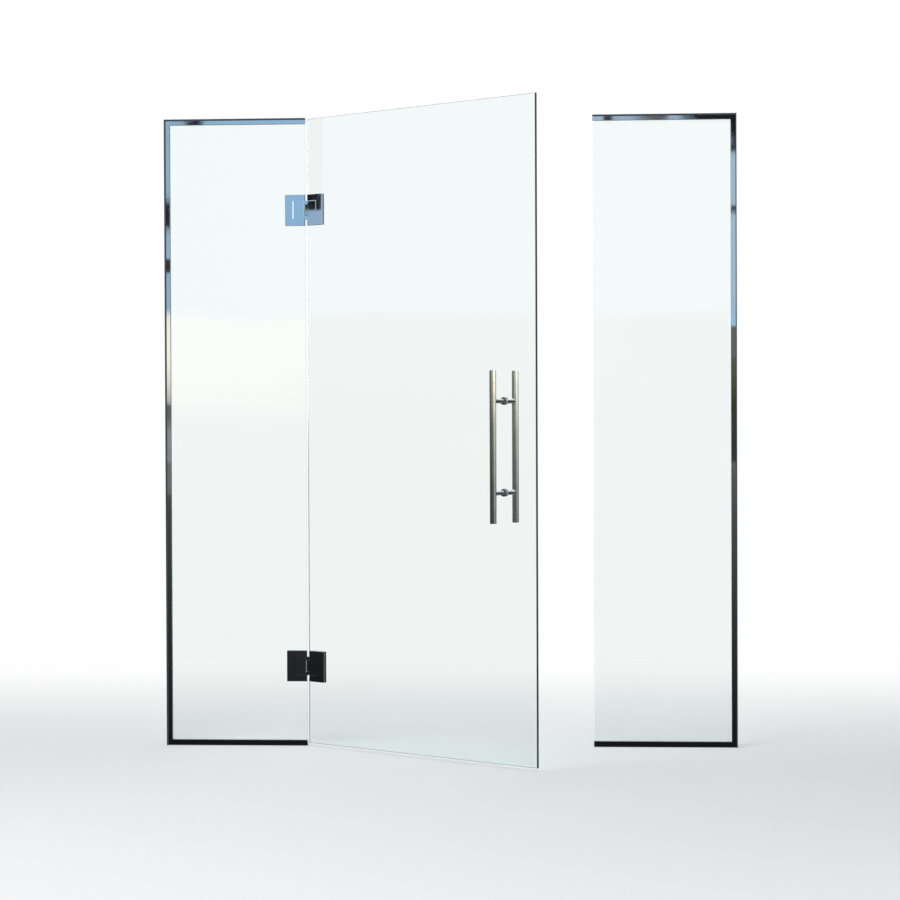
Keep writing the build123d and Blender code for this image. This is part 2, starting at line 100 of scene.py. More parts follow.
def mix_colours(tree, share, first, second):
    """first where share is 0, second where it is 1; each is a colour or a socket."""
    node = wire(tree, "ShaderNodeMix", data_type="RGBA")
    first, second = ((*value, 1.0) if isinstance(value, tuple) else value for value in (first, second))
    for socket, value in zip((node.inputs[0], node.inputs[6], node.inputs[7]), (share, first, second)):
        feed(tree, socket, value)
    return node.outputs[2]


def combine(tree, operation, first, second):
    """One Math node on two values, each a number or a socket."""
    node = wire(tree, "ShaderNodeMath", operation=operation)
    for socket, value in zip(node.inputs, (first, second)):
        feed(tree, socket, value)
    return node.outputs[0]


def scale_colour(tree, colour, gain):
    """A colour times a number, each a socket."""
    return wire(tree, "ShaderNodeVectorMath", operation="SCALE", Vector=colour, Scale=gain).outputs[0]


def band(tree, value, low, high, soft):
    """1 between low and high, falling smoothly to 0 over a soft width outside them."""
    off = combine(tree, "ABSOLUTE", combine(tree, "SUBTRACT", value, (low + high) / 2), 0.0)
    return step_between(tree, off, (high - low) / 2 + soft, (high - low) / 2)


surround = bpy.data.worlds.new("studio_surround")
scene.world = surround
surround.use_nodes = True
sky = surround.node_tree
sky.nodes.clear()
direction = wire(sky, "ShaderNodeTexCoord").outputs["Generated"]
heading = wire(sky, "ShaderNodeSeparateXYZ", Vector=direction).outputs
ruffle = wire(sky, "ShaderNodeTexNoise", Vector=direction, Scale=9.0, Detail=4.0, Roughness=0.6)
ruffle_height = 0.008
uneven = wire(sky, "ShaderNodeMapRange", Value=ruffle.outputs["Fac"],
              To_Min=-ruffle_height, To_Max=ruffle_height)
rise = combine(sky, "ADD", heading["Z"], uneven.outputs[0])
sideways = wire(sky, "ShaderNodeMapRange", Value=heading["X"], From_Min=-1.0, From_Max=1.0).outputs[0]

# Each line is the rise where one colour starts to turn into the next, and the rise where it has done so.
near_line = (-0.17, -0.42)
horizon_line = (-0.004, 0.006)
warm_line = (-0.006, 0.030)
sky_line = (0.044, 0.050)
dark_line = (-0.35, -0.01)
pale_line = (-0.05, 0.30)
ground_depth = -0.16
warm_levels = (0.40, 2.10)
front_to_back = (-0.05, 0.01)
fall = wire(sky, "ShaderNodeMapRange", Value=rise, From_Min=ground_depth, From_Max=0.0).outputs[0]
ground = colour_steps(sky, fall, [
    (0.0, (0.008, 0.008, 0.009)), (0.125, (0.010, 0.010, 0.011)), (0.25, (0.017, 0.018, 0.019)),
    (0.375, (0.027, 0.028, 0.030)), (0.5, (0.038, 0.040, 0.044)), (0.75, (0.072, 0.075, 0.074)),
    (0.85, (0.100, 0.104, 0.096)), (0.94, (0.160, 0.168, 0.145)), (1.0, (0.125, 0.130, 0.110))])
lit_side = colour_steps(sky, sideways, [
    (0.0, (0.13, 0.13, 0.13)), (0.5, (0.20, 0.20, 0.20)), (0.75, (0.42, 0.42, 0.42)), (1.0, (1.0, 1.0, 1.0))])
lit_gain = 5.0
near_ground = scale_colour(sky, ground, combine(sky, "MULTIPLY", lit_side, lit_gain))
low_ground = mix_colours(sky, step_between(sky, rise, *near_line), near_ground, (0.30, 0.31, 0.32))
warm = colour_steps(sky, sideways, [
    (0.0, (0.077, 0.086, 0.056)), (0.18, (0.223, 0.245, 0.176)), (0.36, (0.43, 0.41, 0.317)),
    (0.405, (0.583, 0.566, 0.48)), (0.45, (0.40, 0.377, 0.283)), (0.52, (0.047, 0.058, 0.033)),
    (0.56, (0.057, 0.069, 0.040)), (0.70, (0.95, 0.90, 0.77)), (1.0, (1.0, 0.94, 0.80))])
warm_gain = wire(sky, "ShaderNodeMapRange", interpolation_type="SMOOTHSTEP", Value=rise,
                 From_Min=warm_line[0], From_Max=warm_line[1], To_Min=warm_levels[0], To_Max=warm_levels[1])
horizon = scale_colour(sky, warm, warm_gain.outputs[0])
blue = colour_steps(sky, sideways, [
    (0.0, (0.39, 0.55, 0.74)), (0.405, (0.37, 0.55, 0.70)), (0.44, (0.36, 0.62, 0.88)),
    (0.50, (0.45, 0.60, 0.79)), (0.535, (0.45, 0.63, 0.80)), (1.0, (0.60, 0.72, 0.85))])
to_horizon = mix_colours(sky, step_between(sky, rise, *horizon_line), low_ground, horizon)
ahead_of_door = mix_colours(sky, step_between(sky, rise, *sky_line), to_horizon, blue)
pale_back = mix_colours(sky, step_between(sky, rise, *pale_line), (0.55, 0.57, 0.59), (0.98, 0.99, 1.0))
behind_door = mix_colours(sky, step_between(sky, rise, *dark_line), (0.22, 0.225, 0.23), pale_back)
turned_back = step_between(sky, heading["Y"], *front_to_back)
seen_in_metal = mix_colours(sky, turned_back, ahead_of_door, behind_door)

# A board or card is the range of directions along x, y and z that it fills, and how bright it is.
facing = (-1.0, -0.50)
left_jamb, right_jamb = (-0.1860, -0.1802), (0.0638, 0.0690)
left_side, right_side = (-0.35, -0.1802), (0.0638, 0.40)
left_head, right_head = (0.1293, 0.38), (0.1312, 0.38)
boards = (
    ((-1.0, -0.85), (0.04, 0.25), (0.07, 0.60), 1.15),
    ((0.85, 1.0), (0.02, 0.26), (0.01, 0.60), 1.15),
    ((-1.0, -0.50), (0.04, 0.90), (-0.30, 0.04), 0.10),
    ((0.85, 1.0), (0.0, 0.26), (-0.30, -0.025), 0.36),
    ((0.50, 1.0), (0.305, 0.90), (-0.60, 0.34), 0.05))
cards_for_hinges = (
    ((-0.84, -0.66), (-0.87, -0.50), (0.06, 0.125), 1.70),
    ((0.93, 1.0), (-0.35, -0.02), (0.05, 0.50), 0.03),
    ((-1.0, -0.90), (-0.2297, -0.06), (0.0945, 0.70), 0.016),
    ((-0.30, 0.02), (-0.95, -0.60), (0.40, 0.62), 0.03),
    ((-0.50, 0.02), (-0.95, -0.50), (-0.80, -0.66), 0.04),
    ((-0.88, -0.78), (-0.10, 0.03), (-0.62, -0.48), 0.04))
cards_for_heads = (
    ((-0.1722, -0.1658), facing, left_head, 0.012),
    ((0.0094, 0.0124), facing, right_head, 0.04),
    ((0.0235, 0.0365), facing, right_head, 0.13),
    ((0.0435, 0.40), facing, right_head, 0.012))
cards_for_jambs = (
    (left_side, facing, (0.086, 0.098), 0.012),
    (left_side, facing, (0.067, 0.072), 0.03),
    (left_jamb, facing, (0.0020, 0.0085), 0.145),
    (left_jamb, facing, (-0.0160, -0.0015), 0.33),
    (left_jamb, facing, (-0.0300, -0.0170), 0.19),
    (right_side, facing, (0.1185, 0.38), 0.012),
    (right_jamb, facing, (0.0922, 0.0942), 0.008),
    (right_jamb, facing, (0.0290, 0.0405), 0.155),
    (right_jamb, facing, (-0.0166, 0.0035), 0.043))
cards = (*cards_for_hinges, *cards_for_heads, *cards_for_jambs)
sky_cards = (
    ((-0.30, 0.02), (-0.95, -0.60), (-0.62, -0.50), 0.86),
    ((-0.94, -0.87), (-0.20, -0.07), (-0.47, -0.35), 0.80),
    (right_jamb, facing, (0.0428, 0.0500), 0.95))
board_edge, card_edge = 0.02, 0.001
plain, sky_blue = (1.0, 1.02, 1.03), (0.44, 0.71, 1.0)
hung = ((board_edge, plain, boards), (card_edge, plain, cards), (card_edge, sky_blue, sky_cards))
for soft, tint, group in hung:
    for *ranges, level in group:
        inside = band(sky, heading["X"], *ranges[0], soft)
        for axis, (low, high) in zip("YZ", ranges[1:]):
            inside = combine(sky, "MULTIPLY", inside, band(sky, heading[axis], low, high, soft))
        seen_in_metal = mix_colours(sky, inside, seen_in_metal, tuple(level * part for part in tint))

path = wire(sky, "ShaderNodeLightPath").outputs
bounced = combine(sky, "MINIMUM", path["Glossy Depth"], 1.0)
mirrored = combine(sky, "MULTIPLY", bounced, combine(sky, "SUBTRACT", 1.0, path["Is Diffuse Ray"]))
seen = combine(sky, "MAXIMUM", path["Is Camera Ray"], path["Is Transmission Ray"])
seen_through = combine(sky, "MULTIPLY", seen, combine(sky, "SUBTRACT", 1.0, bounced))
soft_light = mix_colours(sky, mirrored, (0.80, 0.81, 0.82), seen_in_metal)
shown = mix_colours(sky, seen_through, soft_light, (1.0, 1.0, 1.0))
glow = wire(sky, "ShaderNodeBackground", Color=shown, Strength=1.0)
sky.links.new(glow.outputs[0], wire(sky, "ShaderNodeOutputWorld").inputs["Surface"])

# Floor: a plain level floor in matt pale paint, which turns to the white of the surround behind the door
# and far from it. Metal doesn't mirror it, so that the studio alone shows there.
floor_half = 14.0
white_behind = (-0.7, 2.8)
white_away = (1.6, 5.5)
floor_mesh = bpy.data.meshes.new("studio_floor")
floor_corners = np.array([(-1, -1, 0), (1, -1, 0), (1, 1, 0), (-1, 1, 0)], float) * floor_half
floor_mesh.from_pydata(floor_corners.tolist(), [], [(0, 1, 2, 3)])
studio_floor = bpy.data.objects.new("studio_floor", floor_mesh)
scene.collection.objects.link(studio_floor)


def mix_shaders(tree, share, first, second):
    """The shader first where share is 0, second where it is 1."""
    node = wire(tree, "ShaderNodeMixShader")
    for socket, value in zip(node.inputs, (share, first, second)):
        feed(tree, socket, value)
    return node.outputs[0]


paint = bpy.data.materials.new("pale_floor_paint")
paint.use_nodes = True
coat = paint.node_tree
coat.nodes.clear()
place = wire(coat, "ShaderNodeTexCoord").outputs["Object"]
along = wire(coat, "ShaderNodeSeparateXYZ", Vector=place)
far = wire(coat, "ShaderNodeVectorMath", operation="LENGTH", Vector=place).outputs["Value"]
behind = step_between(coat, along.outputs["Y"], *white_behind)
away = step_between(coat, far, *white_away)
speckle = wire(coat, "ShaderNodeTexNoise", Vector=place, Scale=60.0, Detail=3.0)
pale_grey = mix_colours(coat, speckle.outputs["Fac"], (0.60, 0.605, 0.61), (0.65, 0.655, 0.66))
matt = wire(coat, "ShaderNodeBsdfDiffuse", Color=pale_grey)
open_white = wire(coat, "ShaderNodeEmission", Color=(1.0, 1.0, 1.0, 1.0), Strength=1.0)
faded = mix_shaders(coat, combine(coat, "MAXIMUM", behind, away), matt.outputs[0], open_white.outputs[0])
mirror_bounces = wire(coat, "ShaderNodeLightPath").outputs["Glossy Depth"]
gone = wire(coat, "ShaderNodeBsdfTransparent").outputs[0]
out_of_mirrors = mix_shaders(coat, combine(coat, "MINIMUM", mirror_bounces, 1.0), faded, gone)
coat.links.new(out_of_mirrors, wire(coat, "ShaderNodeOutputMaterial").inputs["Surface"])
floor_mesh.materials.append(paint)

# Soft box: one wide lamp, high on the left in front of the door, lights it evenly. Neither the camera nor
# polished metal sees it.
soft_box = bpy.data.lights.new("soft_box", "AREA")
soft_box.energy = 160.0
soft_box.shape = "RECTANGLE"
soft_box.size = 3.0
soft_box.size_y = 2.0
lamp = bpy.data.objects.new("soft_box", soft_box)
scene.collection.objects.link(lamp)
lamp.location = (-1.8, -3.6, 4.2)
lit_point = Vector((0.0, 0.0, 0.9))
lamp.rotation_euler = (lit_point - lamp.location).to_track_quat("-Z", "Y").to_euler()
lamp.visible_glossy = False
lamp.visible_camera = False

# Camera: fitted to the corners of the channels, the leaf and the hinges in the photograph. It turns by
# turn, tilt and roll from a level look along +Y, and its focal length is in pixels of the photograph.
eye = Vector((0.47007, -7.88763, 1.12826))
turn, tilt, roll = (math.radians(angle) for angle in (-3.393, -0.666, -0.216))
photo_width = 900.0
focal_pixels = 2260.465
sensor_width = 36.0
right = Vector((math.cos(turn), -math.sin(turn), 0.0))
ahead = Vector((math.cos(tilt) * math.sin(turn), math.cos(tilt) * math.cos(turn), math.sin(tilt)))
up = right.cross(ahead)
rolled_right = math.cos(roll) * right + math.sin(roll) * up
rolled_up = math.cos(roll) * up - math.sin(roll) * right
lens = bpy.data.cameras.new("viewer")
lens.sensor_width = sensor_width
lens.lens = sensor_width * focal_pixels / photo_width
lens.clip_end = 100.0
viewer = bpy.data.objects.new("viewer", lens)
scene.collection.objects.link(viewer)
viewer.matrix_world = Matrix((
    (rolled_right.x, rolled_up.x, -ahead.x, eye.x),
    (rolled_right.y, rolled_up.y, -ahead.y, eye.y),
    (rolled_right.z, rolled_up.z, -ahead.z, eye.z),
    (0.0, 0.0, 0.0, 1.0)))
scene.camera = viewer


# U-channels: folded from 1.5 mm stainless sheet, polished to a mirror and mitred at the corners. Screws
# through their webs hold them in the opening. Wiping leaves faint long streaks and finger haze.
def handling_marks():
    """Node group: fine lines drawn out along one direction, and broad soft smudges, each from 0 to 1."""
    smudge_edge = (0.42, 0.72)
    group = bpy.data.node_groups.new("handling_marks", "ShaderNodeTree")
    given_sockets = (
        ("Stretch", "NodeSocketVector", (1.0, 1.0, 1.0)),
        ("Smudge Scale", "NodeSocketFloat", 8.0))
    for name, kind, start in given_sockets:
        group.interface.new_socket(name, in_out="INPUT", socket_type=kind).default_value = start
    for name in ("Lines", "Smudge"):
        group.interface.new_socket(name, in_out="OUTPUT", socket_type="NodeSocketFloat")
    given = group.nodes.new("NodeGroupInput").outputs
    result = group.nodes.new("NodeGroupOutput").inputs
    spot = wire(group, "ShaderNodeTexCoord").outputs["Object"]
    drawn = wire(group, "ShaderNodeVectorMath", operation="MULTIPLY")
    group.links.new(spot, drawn.inputs[0])
    group.links.new(given["Stretch"], drawn.inputs[1])
    lines = wire(group, "ShaderNodeTexNoise", Vector=drawn.outputs[0], Scale=1.0, Detail=3.0, Roughness=0.7)
    smudge = wire(group, "ShaderNodeTexNoise", Vector=spot, Scale=given["Smudge Scale"], Detail=5.0,
                  Roughness=0.62, Distortion=0.6)
    group.links.new(lines.outputs["Fac"], result["Lines"])
    group.links.new(step_between(group, smudge.outputs["Fac"], *smudge_edge), result["Smudge"])
    return group


marks = handling_marks()


def start_material(name, **sockets):
    """A named material with one Principled shader, its plain values set on their own sockets."""
    made = bpy.data.materials.new(name)
    made.use_nodes = True
    tree = made.node_tree
    tree.nodes.clear()
    shader = wire(tree, "ShaderNodeBsdfPrincipled", **sockets)
    tree.links.new(shader.outputs[0], wire(tree, "ShaderNodeOutputMaterial").inputs["Surface"])
    return made, tree, shader


def metal_finish(name, clean, hazed, sheen, stretch, line_depth, smudge_scale=8.0):
    """Polished or brushed metal with smudges of haze and a shallow bump of fine lines.

    sheen is one plain roughness, or the pair of roughnesses of clean and hazed metal.
    """
    made, tree, shader = start_material(name, Metallic=1.0)
    worn = wire(tree, "ShaderNodeGroup", node_tree=marks)
    worn.inputs["Stretch"].default_value = stretch
    worn.inputs["Smudge Scale"].default_value = smudge_scale
    tree.links.new(mix_colours(tree, worn.outputs["Smudge"], clean, hazed), shader.inputs["Base Color"])
    if isinstance(sheen, tuple):
        dull = wire(tree, "ShaderNodeMapRange", Value=worn.outputs["Smudge"],
                    To_Min=sheen[0], To_Max=sheen[1])
        tree.links.new(dull.outputs[0], shader.inputs["Roughness"])
    else:
        shader.inputs["Roughness"].default_value = sheen
    ridge = wire(tree, "ShaderNodeBump", Strength=0.35, Distance=line_depth, Height=worn.outputs["Lines"])
    tree.links.new(ridge.outputs[0], shader.inputs["Normal"])
    return made


def dress(material, *names):
    """Give CAD nodes a finish in their own slots."""
    for name in names:
        slots = door[name].data.materials
        slots.clear()
        slots.append(material)


mirror = dict(clean=(0.74, 0.76, 0.78), hazed=(0.71, 0.73, 0.75), sheen=(0.015, 0.045), line_depth=1e-6)
upright_mirror = metal_finish("mirror_polished_jamb", stretch=(900.0, 900.0, 6.0), **mirror)
level_mirror = metal_finish("mirror_polished_rail", stretch=(6.0, 900.0, 900.0), **mirror)
sides = ("left", "right")
dress(upright_mirror, *[f"{side}_jamb_channel" for side in sides])
dress(level_mirror, *[f"{side}_{rail}_channel" for side in sides for rail in ("head", "sill")])


# Gaskets and setting blocks: grey rubber strips pressed in each side of the pane, and the plastic blocks
# that the pane stands on inside the sill.
def soft_finish(name, dark, pale, dullness, scale, depth):
    """Rubber or plastic: two close tones in fine noise, with the same noise as a shallow bump."""
    made, tree, shader = start_material(name, Roughness=dullness)
    spot = wire(tree, "ShaderNodeTexCoord").outputs["Object"]
    grain = wire(tree, "ShaderNodeTexNoise", Vector=spot, Scale=scale, Detail=4.0, Roughness=0.65)
    tree.links.new(mix_colours(tree, grain.outputs["Fac"], dark, pale), shader.inputs["Base Color"])
    skin = wire(tree, "ShaderNodeBump", Strength=0.3, Distance=depth, Height=grain.outputs["Fac"])
    tree.links.new(skin.outputs[0], shader.inputs["Normal"])
    return made


gasket_grey = soft_finish("gasket_grey_rubber", (0.46, 0.48, 0.48), (0.58, 0.60, 0.60),
                          dullness=0.55, scale=700.0, depth=5e-5)
block_black = soft_finish("setting_block_black", (0.02, 0.02, 0.022), (0.06, 0.06, 0.062),
                          dullness=0.5, scale=500.0, depth=5e-5)
dress(gasket_grey, *[f"{side}_glazing_gaskets" for side in sides])
dress(block_black, *[f"{side}_setting_blocks" for side in sides])


# Glass: three panes of 10 mm toughened float glass with a faint green cast. Toughening on rollers leaves
# a very slow wave in the faces, which only shows in what they mirror.
def toughened_glass(name, wave_direction):
    """Clear glass: its colour is what one pane lets through, and slow bands in it bend the shine a little.

    Rays towards the lamps pass straight through, so a pane throws only a faint shadow.
    """
    made, tree, shader = start_material(
        name, Base_Color=(0.942, 0.985, 0.973, 1.0), Roughness=0.0, IOR=1.5, Transmission_Weight=1.0)
    spot = wire(tree, "ShaderNodeTexCoord").outputs["Object"]
    rollers = wire(tree, "ShaderNodeVectorMath", operation="MULTIPLY")
    tree.links.new(spot, rollers.inputs[0])
    rollers.inputs[1].default_value = wave_direction
    wave = wire(tree, "ShaderNodeTexNoise", Vector=rollers.outputs[0], Scale=1.0, Detail=1.0)
    swell = wire(tree, "ShaderNodeBump", Strength=0.5, Distance=4e-4, Height=wave.outputs["Fac"])
    tree.links.new(swell.outputs[0], shader.inputs["Normal"])
    clear = wire(tree, "ShaderNodeBsdfTransparent", Color=(0.87, 0.93, 0.91, 1.0))
    to_lamps = wire(tree, "ShaderNodeLightPath").outputs["Is Shadow Ray"]
    lets_lamps_by = mix_shaders(tree, to_lamps, shader.outputs[0], clear.outputs[0])
    tree.links.new(lets_lamps_by, tree.nodes["Material Output"].inputs["Surface"])
    return made


clear_glass = toughened_glass("toughened_glass", wave_direction=(0.6, 0.6, 3.2))
dress(clear_glass, "left_side_glass", "right_side_glass", "leaf_glass")

# Polished edges: along an edge the eye looks through the pane's whole width, so the free edge turns deep
# green. The other edges are pale, a painted highlight. Each band follows a pane's ground flat, with a frosted
# arris on both sides, pale from frost and a painted highlight.
arris = 0.0008
half_glass = 0.005
edge_skin = 0.00003


def place_mesh(name, points, faces, materials, body, face_slots=None, smooth=None):
    """Put points, faces and each face's material and smoothness into a mesh that rides on a body."""
    mesh = bpy.data.meshes.new(name)
    mesh.from_pydata(points.tolist(), [], faces)
    for material in materials:
        mesh.materials.append(material)
    if face_slots is not None:
        mesh.polygons.foreach_set("material_index", face_slots)
    if smooth is not None:
        mesh.polygons.foreach_set("use_smooth", smooth)
    mesh.update()
    piece = bpy.data.objects.new(name, mesh)
    scene.collection.objects.link(piece)
    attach(piece, body)
    return piece


def edge_finish(name, deep, pale, dullness):
    """Ground and polished glass edge: two close greens in slow noise, the same noise as a shallow bump."""
    made, tree, shader = start_material(name, Roughness=dullness, Specular_IOR_Level=0.5)
    spot = wire(tree, "ShaderNodeTexCoord").outputs["Object"]
    slow = wire(tree, "ShaderNodeTexNoise", Vector=spot, Scale=14.0, Detail=3.0)
    tree.links.new(mix_colours(tree, slow.outputs["Fac"], deep, pale), shader.inputs["Base Color"])
    ridge = wire(tree, "ShaderNodeBump", Strength=0.2, Distance=2e-5, Height=slow.outputs["Fac"])
    tree.links.new(ridge.outputs[0], shader.inputs["Normal"])
    return made


deep_edge = edge_finish("polished_green_edge", (0.026, 0.038, 0.036), (0.046, 0.062, 0.058), dullness=0.12)
# The pale edge bands are a painted highlight. The arris is pale from real frosting, with a painted highlight
# on top.
highlight_painted_edge = edge_finish("polished_edge_painted_highlight", (0.76, 0.87, 0.83), (0.86, 0.94, 0.91), dullness=0.16)
arris_frost_and_highlight = edge_finish("frosted_arris_painted_highlight", (0.80, 0.88, 0.85), (0.90, 0.95, 0.93), dullness=0.38)


def edge_band(name, starts, ends, outward, across, body, finishes=(highlight_painted_edge, arris_frost_and_highlight)):
    """Bands along straight edges: the profile arris, flat, arris is carried from each start to its end.

    A profile point is start + outward * depth + across * width, pushed out by the band's own skin.
    """
    starts, ends, outward, across = (np.asarray(a, float) for a in (starts, ends, outward, across))
    outer, inner = half_glass + edge_skin, half_glass - arris
    width = np.array([-outer, -inner, inner, outer])
    depth = np.array([-arris, edge_skin, edge_skin, -arris])
    profile = depth[:, None] * outward + width[:, None] * across
    points = np.concatenate([starts[:, None] + profile, ends[:, None] + profile], axis=1).reshape(-1, 3)
    count = len(profile)
    step = np.arange(count - 1)
    strip = np.stack([step, step + 1, step + 1 + count, step + count], -1)
    turned = np.dot(np.cross(ends[0] - starts[0], across), outward) < 0
    strip = strip if turned else strip[:, ::-1]
    faces = (strip[None] + 2 * count * np.arange(len(starts))[:, None, None]).reshape(-1, 4)
    slots = np.tile([1, 0, 1], len(starts)).astype(np.int32)
    return place_mesh(name, points, faces.tolist(), finishes, body, slots)


hinges = ("upper", "lower")
notch_half = 0.0345
upper_centre, lower_centre = (
    sum(end[2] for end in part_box(f"{hinge}_hinge_fixed_body")) / 2 for hinge in hinges)


def upright_runs(x, y, heights):
    """Start and end points of upright runs at one place in plan."""
    return [(x, y, low) for low, high in heights], [(x, y, high) for low, high in heights]


def clear_of_hinges(foot, top):
    """The heights of an upright edge from foot to top, without the notches for the hinges."""
    return ((foot, lower_centre - notch_half), (lower_centre + notch_half, upper_centre - notch_half),
            (upper_centre + notch_half, top))


sill_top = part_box("left_sill_channel")[1][2]
head_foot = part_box("left_head_channel")[0][2]
left_edge = upright_runs(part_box("left_side_glass")[1][0], 0.0, clear_of_hinges(sill_top, head_foot))
right_edge = upright_runs(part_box("right_side_glass")[0][0], 0.0, ((sill_top, head_foot),))
edge_band("left_pane_edge", *left_edge, (1, 0, 0), (0, 1, 0), "frame")
edge_band("right_pane_edge", *right_edge, (-1, 0, 0), (0, 1, 0), "frame")

# The leaf's edges lie along and across it. It stands open by the angle left to its closed limit.
swing = next(joint for joint in frame["record"]["behaviour"]["joints"] if joint["name"] == "leaf_swing")
hinge_line = np.array(swing["pos_m"][:2], float)
leaf_angle = math.radians(swing["range_deg"][1])
leaf_along = np.array([math.cos(leaf_angle), -math.sin(leaf_angle)])
leaf_back = np.array([math.sin(leaf_angle), math.cos(leaf_angle)])
along3, back3, towards_hinge = (*leaf_along, 0.0), (*leaf_back, 0.0), (*-leaf_along, 0.0)
leaf_hinge_gap = 0.0035
leaf_reach = 0.994
corner_trim = 0.001
leaf_foot, leaf_top = (end[2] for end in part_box("leaf_glass"))
leaf_heights = (leaf_foot + corner_trim, leaf_top - corner_trim)
near_edge = hinge_line + leaf_along * leaf_hinge_gap
free_edge = hinge_line + leaf_along * leaf_reach
near_runs = upright_runs(*near_edge, clear_of_hinges(*leaf_heights))
edge_band("leaf_hinge_edge", *near_runs, towards_hinge, back3, "leaf")
edge_band("leaf_free_edge", *upright_runs(*free_edge, (leaf_heights,)), along3, back3, "leaf",
          (deep_edge, deep_edge))
trimmed_near, trimmed_free = near_edge + leaf_along * corner_trim, free_edge - leaf_along * corner_trim
for rail, height, facing_up in (("top", leaf_top, 1.0), ("bottom", leaf_foot, -1.0)):
    edge_band(f"leaf_{rail}_edge", [(*trimmed_near, height)], [(*trimmed_free, height)],
              (0, 0, facing_up), back3, "leaf")


# Hydraulic hinges: two cast stainless halves that clamp the panes, polished like the channels, with a
# cam spindle, bronze bushes, piston, spring and oil valve inside.
def hinge_nodes(*kinds):
    """The nodes of these kinds in both hinges."""
    return [f"{hinge}_hinge_{kind}" for hinge in hinges for kind in kinds]


hinge_mirror = metal_finish(
    "polished_hinge_steel", (0.70, 0.73, 0.76), (0.67, 0.70, 0.73), sheen=(0.012, 0.03),
    stretch=(40.0, 40.0, 1500.0), line_depth=2e-7, smudge_scale=30.0)
clear_pad = metal_finish(
    "clear_pad_on_steel", (0.58, 0.61, 0.63), (0.52, 0.55, 0.57), sheen=(0.05, 0.12),
    stretch=(700.0, 700.0, 700.0), line_depth=4e-7, smudge_scale=60.0)
plain_screw = metal_finish(
    "plain_screw_steel", (0.60, 0.61, 0.62), (0.48, 0.49, 0.50), sheen=(0.18, 0.34),
    stretch=(2500.0, 2500.0, 2500.0), line_depth=4e-6, smudge_scale=220.0)
ground_steel = metal_finish(
    "ground_spindle_steel", (0.52, 0.53, 0.55), (0.40, 0.41, 0.43), sheen=0.22,
    stretch=(200.0, 200.0, 6000.0), line_depth=3e-6, smudge_scale=160.0)
bronze = metal_finish(
    "sintered_bronze", (0.62, 0.42, 0.20), (0.46, 0.30, 0.14), sheen=0.36,
    stretch=(3500.0, 3500.0, 3500.0), line_depth=1e-5, smudge_scale=240.0)
seal_ring = soft_finish("seal_ring_rubber", (0.012, 0.012, 0.012), (0.035, 0.035, 0.035),
                        dullness=0.4, scale=2000.0, depth=2e-5)
dress(hinge_mirror, *hinge_nodes("fixed_body", "fixed_clamp", "leaf_body", "leaf_clamp"))
dress(clear_pad, *hinge_nodes("fixed_pads", "leaf_pads"))
dress(plain_screw, *hinge_nodes("fixed_screws", "leaf_screws", "set_screws", "valve_screw"))
dress(ground_steel, *hinge_nodes("spindle", "piston", "end_plug"))
dress(bronze, *hinge_nodes("bushes", "thrust_washers"))
dress(seal_ring, *hinge_nodes("spindle_seals", "piston_seal"))

# Closer springs: in each hinge a compression spring of oiled wire, coiled cold in six turns, stands between
# the piston and the end plug. In the real hinge the piston shortens it by about 2 mm as the leaf opens fully;
# here it keeps one length and rides with the leaf.
# Its ends are measured along the leaf from the hinge line.
spring_start, spring_end = 0.01672, 0.04200
spring_wire = 0.0010
spring_coil = 0.0054
spring_turns = 6
steps_a_turn = 24
wire_sides = 12
oiled_wire = metal_finish(
    "oiled_spring_wire", (0.20, 0.20, 0.21), (0.10, 0.10, 0.11), sheen=0.30,
    stretch=(1500.0, 1500.0, 1500.0), line_depth=4e-6, smudge_scale=260.0)


def ring_quads(rings, count):
    """Quads between neighbouring rings of count points, each ring closed on itself."""
    step = np.arange(count)
    quad = np.stack([step, (step + 1) % count, (step + 1) % count + count, step + count], -1)
    return (quad[None] + count * np.arange(rings - 1)[:, None, None]).reshape(-1, 4)


def coil_spring(name, height):
    """A round wire carried along a helix about the line of the leaf.

    The helix is start + along * length * a / last a + coil * radial, radial being back * cos a + up * sin a.
    Each ring of the wire is wire * (radial * cos b + side * sin b), side being square to path and radial.
    """
    along, back, up = np.array(along3), np.array(back3), np.array((0.0, 0.0, 1.0))
    base = np.array((*hinge_line, height))
    angle = np.linspace(0.0, 2 * math.pi * spring_turns, steps_a_turn * spring_turns + 1)[:, None]
    length = spring_end - spring_start - 2 * spring_wire
    radial = back * np.cos(angle) + up * np.sin(angle)
    line = base + along * (spring_start + spring_wire + length * angle / angle[-1]) + spring_coil * radial
    onward = along * length / angle[-1] + spring_coil * (up * np.cos(angle) - back * np.sin(angle))
    side = np.cross(onward / np.linalg.norm(onward, axis=1, keepdims=True), radial)
    ring = np.linspace(0.0, 2 * math.pi, wire_sides, endpoint=False)[None, :, None]
    points = line[:, None] + spring_wire * (radial[:, None] * np.cos(ring) + side[:, None] * np.sin(ring))
    rings, count = points.shape[:2]
    quads = ring_quads(rings, count)
    step = np.arange(count)
    caps = [step[::-1].tolist(), (step + count * (rings - 1)).tolist()]
    smooth = np.r_[np.ones(len(quads), bool), np.zeros(len(caps), bool)]
    spring = place_mesh(name, points.reshape(-1, 3), [*quads.tolist(), *caps], (oiled_wire,), "leaf",
                        smooth=smooth)
    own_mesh(spring)
    return spring


for hinge, height in zip(hinges, (upper_centre, lower_centre)):
    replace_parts(coil_spring(f"{hinge}_closer_spring", height), f"{hinge}_hinge_spring")

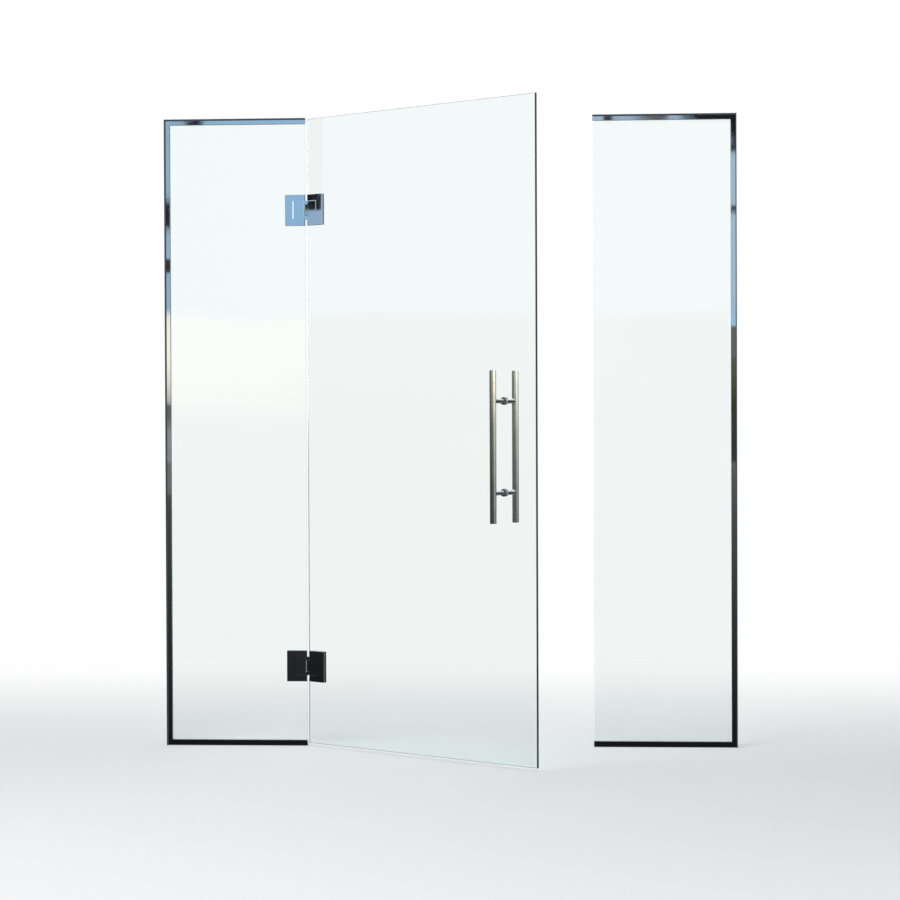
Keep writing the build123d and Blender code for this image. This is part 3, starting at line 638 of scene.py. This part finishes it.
# Pull handle: stainless tubes with posts welded on, one on each face, bolted together through the glass
# on plastic washers. The tubes have a fine lengthwise satin polish, the rosettes are turned and darker.
satin_tube = metal_finish(
    "satin_pull_tube", (0.72, 0.72, 0.70), (0.66, 0.66, 0.64), sheen=(0.06, 0.11),
    stretch=(1600.0, 1600.0, 10.0), line_depth=2e-6, smudge_scale=40.0)
rosette_steel = metal_finish(
    "bright_rosette", (0.40, 0.41, 0.42), (0.35, 0.36, 0.37), sheen=(0.06, 0.14),
    stretch=(1200.0, 1200.0, 1200.0), line_depth=3e-6, smudge_scale=90.0)
washer_plastic = soft_finish("clear_washer_plastic", (0.55, 0.57, 0.56), (0.70, 0.72, 0.71),
                             dullness=0.45, scale=900.0, depth=3e-5)
dress(satin_tube, "front_pull", "back_pull", "pull_caps")
dress(rosette_steel, "pull_rosettes")
dress(washer_plastic, "pull_pads", "glass_bushes")
dress(plain_screw, "through_studs", "grub_screws")

# Dark outer bead: a low half-round bead of dark bluish matt finish along the outer edges of the jambs and
# heads, on both faces, where the frame meets its opening. It is wider on the left jamb than on the right.
# Dark matt finish of the outer bead, which draws a dark line along the frame's outer edges.
dark_outer_bead_finish = soft_finish("dark_outer_bead_finish", (0.020, 0.027, 0.036), (0.040, 0.052, 0.066),
                            dullness=0.48, scale=260.0, depth=1e-4)
bead_rise = 0.0007
bead_seat = 0.0002
bead_points = 11
head_bead = 0.0068
jamb_beads = {"left": 0.0070, "right": 0.0038}


def dark_outer_bead(side, face):
    """A half-round bead carried up a jamb and along its head, mitred in the corner.

    A ring's points are stop + inward * (1 - cos t) / 2 in the plane of the face, raised by bead_rise * sin t,
    for t from 0 to pi, and the last point closes back on the first along the metal.
    """
    low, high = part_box(f"{side}_head_channel")
    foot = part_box(f"{side}_jamb_channel")[0][2]
    outer, inner = (low[0], high[0]) if side == "left" else (high[0], low[0])
    way = math.copysign(jamb_beads[side], inner - outer)
    stops = np.array([(outer, foot), (outer, high[2]), (inner, high[2])])
    inward = np.array([(way, 0.0), (way, -head_bead), (0.0, -head_bead)])
    turns = np.linspace(0.0, math.pi, bead_points)
    plan = stops[:, None] + inward[:, None] * ((1 - np.cos(turns)) / 2)[:, None]
    raised = bead_rise * np.sin(turns) - bead_seat
    surface = low[1] - raised if face == "front" else high[1] + raised
    points = np.stack([plan[..., 0], np.broadcast_to(surface, plan.shape[:2]), plan[..., 1]], -1)
    rings, count = points.shape[:2]
    quads = ring_quads(rings, count)
    step = np.arange(count)
    start_cap, end_cap = step[::-1], step + count * (rings - 1)
    if (side == "left") != (face == "front"):
        quads, start_cap, end_cap = quads[:, ::-1], start_cap[::-1], end_cap[::-1]
    faces = [*quads.tolist(), start_cap.tolist(), end_cap.tolist()]
    return place_mesh(f"{side}_{face}_outer_bead", points.reshape(-1, 3), faces, (dark_outer_bead_finish,), "frame")


for side in sides:
    for face in ("front", "back"):
        dark_outer_bead(side, face)
